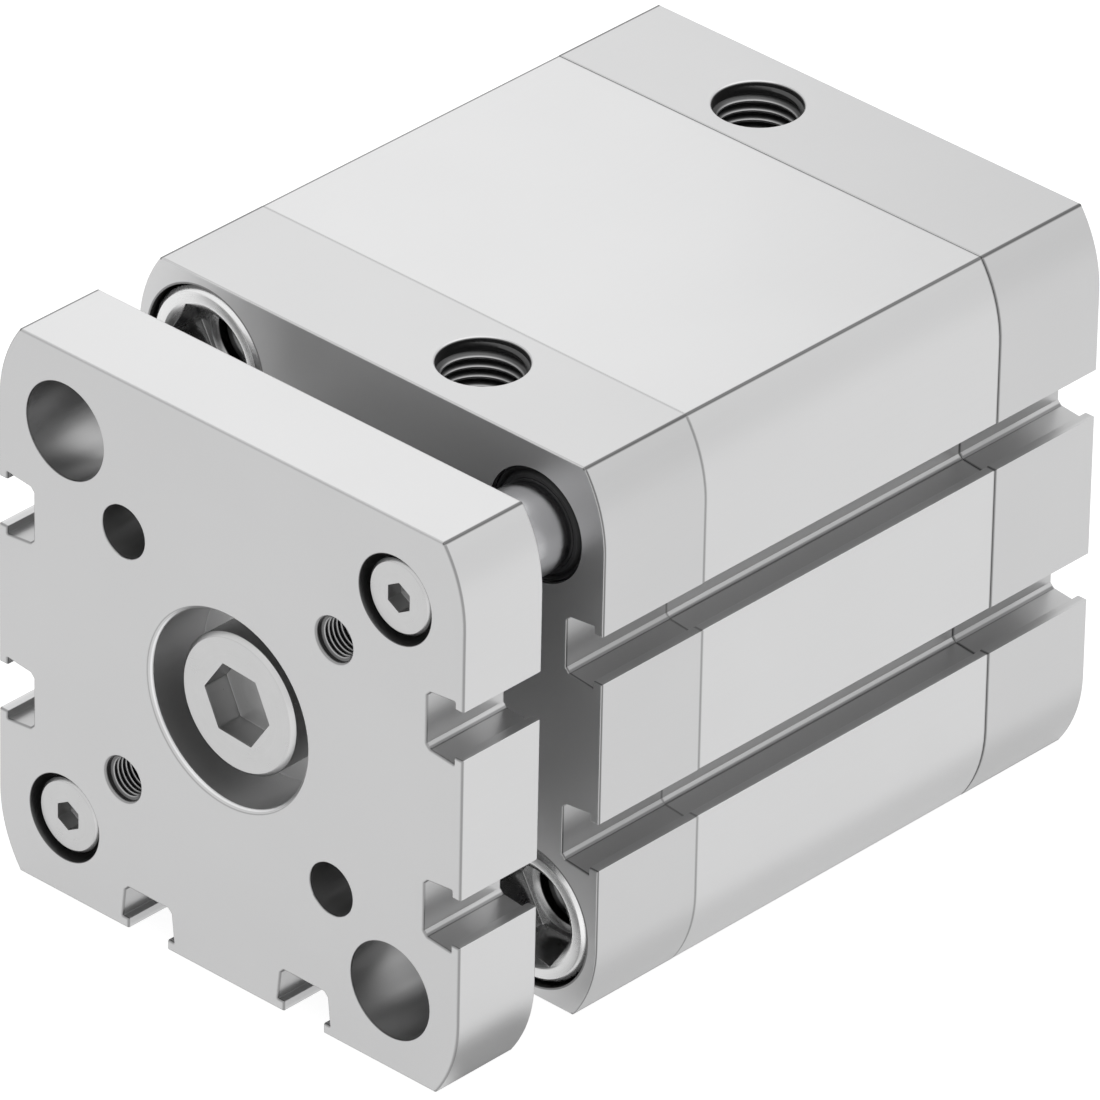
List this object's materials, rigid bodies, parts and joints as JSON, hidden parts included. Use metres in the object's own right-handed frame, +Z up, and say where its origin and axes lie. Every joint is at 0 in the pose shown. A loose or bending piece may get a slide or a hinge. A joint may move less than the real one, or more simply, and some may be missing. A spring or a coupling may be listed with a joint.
{
  "type": "guided pneumatic cylinder",
  "caption": "Square compact pneumatic cylinder with a yoke plate on its piston rod, guided by parallel rods, with sensor slots, air ports and hollow corner screws.",
  "frame": {"origin": "centre of the rear mounting face, on the cylinder's axis", "axes": "+Z up through the air ports; the rod comes out towards -Y; +X to the right when looking along +Y at the yoke plate"},
  "size_m": [0.0654, 0.0954, 0.0652],
  "materials": {
    "anodised": "satin clear anodised",
    "zinc_steel": "bright zinc plated, turned",
    "hard_chrome": "ground and hard chromed",
    "bearing_alloy": "sintered bearing bronze",
    "seal_rubber": "matt black polyurethane",
    "buffer_rubber": "matt black elastomer",
    "piston_alloy": "turned",
    "guide_band": "filled polymer band",
    "bonded_magnet": "plastic-bonded magnet"
  },
  "bodies": {
    "housing": {"barrel": "anodised", "bearing_cap": "anodised", "end_cap": "anodised", "bearing_cap_screws": "zinc_steel", "end_cap_screws": "zinc_steel", "bearing_cap_o_ring": "seal_rubber", "end_cap_o_ring": "seal_rubber", "front_buffer": "buffer_rubber", "rear_buffer": "buffer_rubber", "rod_bush": "bearing_alloy", "rod_seal": "seal_rubber", "guide_bush_upper": "bearing_alloy", "guide_bush_lower": "bearing_alloy", "guide_wiper_upper": "seal_rubber", "guide_wiper_lower": "seal_rubber"},
    "yoke": {"yoke_plate": "anodised", "piston_rod": "hard_chrome", "guide_rod_upper": "hard_chrome", "guide_rod_lower": "hard_chrome", "yoke_screw": "zinc_steel", "guide_rod_screws": "zinc_steel", "piston_nut": "zinc_steel", "piston_o_ring": "seal_rubber", "piston_disc_front": "piston_alloy", "piston_disc_rear": "piston_alloy", "piston_seal_front": "seal_rubber", "piston_seal_rear": "seal_rubber", "wear_ring": "guide_band", "magnet_ring": "bonded_magnet"}
  },
  "joints": [
    {"name": "rod_slide", "type": "slide", "parent": "housing", "child": "yoke", "axis": [0, -1, 0], "range_m": [0, 0.03]}
  ]
}
